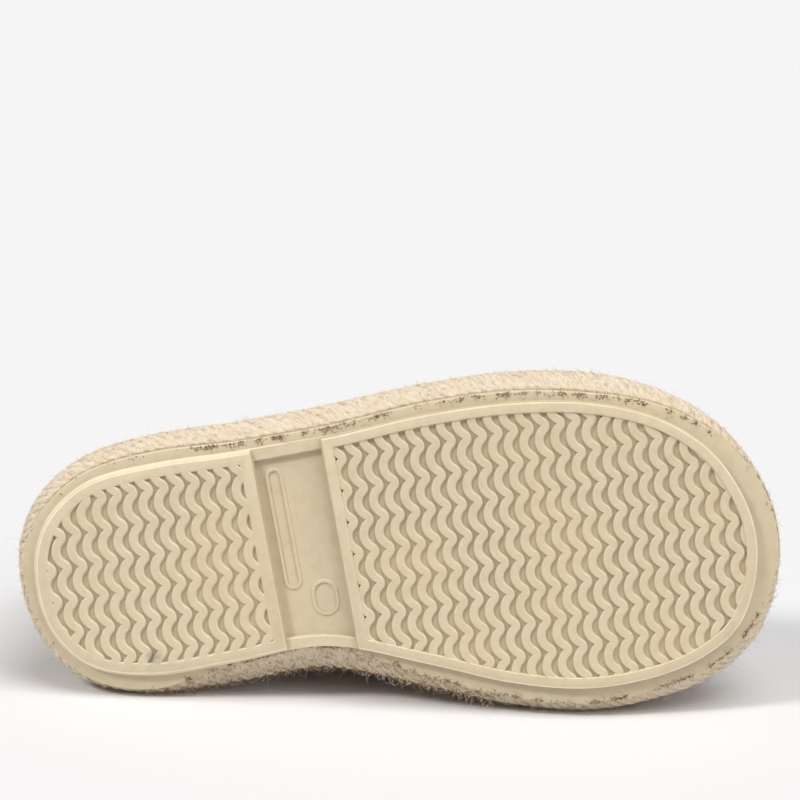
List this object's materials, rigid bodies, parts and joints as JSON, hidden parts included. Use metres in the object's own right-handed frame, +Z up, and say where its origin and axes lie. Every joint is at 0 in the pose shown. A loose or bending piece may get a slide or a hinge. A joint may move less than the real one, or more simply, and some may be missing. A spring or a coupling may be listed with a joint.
{
  "type": "child's derby shoe",
  "caption": "Child's low lace-up shoe for the right foot, with a coiled jute midsole and a ribbed rubber outsole, lying on its inner side.",
  "frame": {"origin": "under the middle of the lying shoe's box, on the surface that it lies on", "axes": "+X from the heel towards the toe, +Z up; the shoe lies on its medial side, its tread faces -Y and its collar opens towards +Y"},
  "size_m": [0.1498, 0.073, 0.0663],
  "materials": {
    "rubber": "matt, moulded",
    "jute": "plaited natural fibre",
    "lining": "woven cotton",
    "linen": "woven",
    "cotton_lace": "round braid",
    "eyelet_brass": "dull"
  },
  "bodies": {
    "root": {"outsole": "rubber", "midsole": "jute", "insole": "lining", "upper": "linen", "tongue": "linen", "lace": "cotton_lace", "eyelet_lateral_1": "eyelet_brass", "eyelet_lateral_2": "eyelet_brass", "eyelet_lateral_3": "eyelet_brass", "eyelet_medial_1": "eyelet_brass", "eyelet_medial_2": "eyelet_brass", "eyelet_medial_3": "eyelet_brass"}
  },
  "joints": []
}
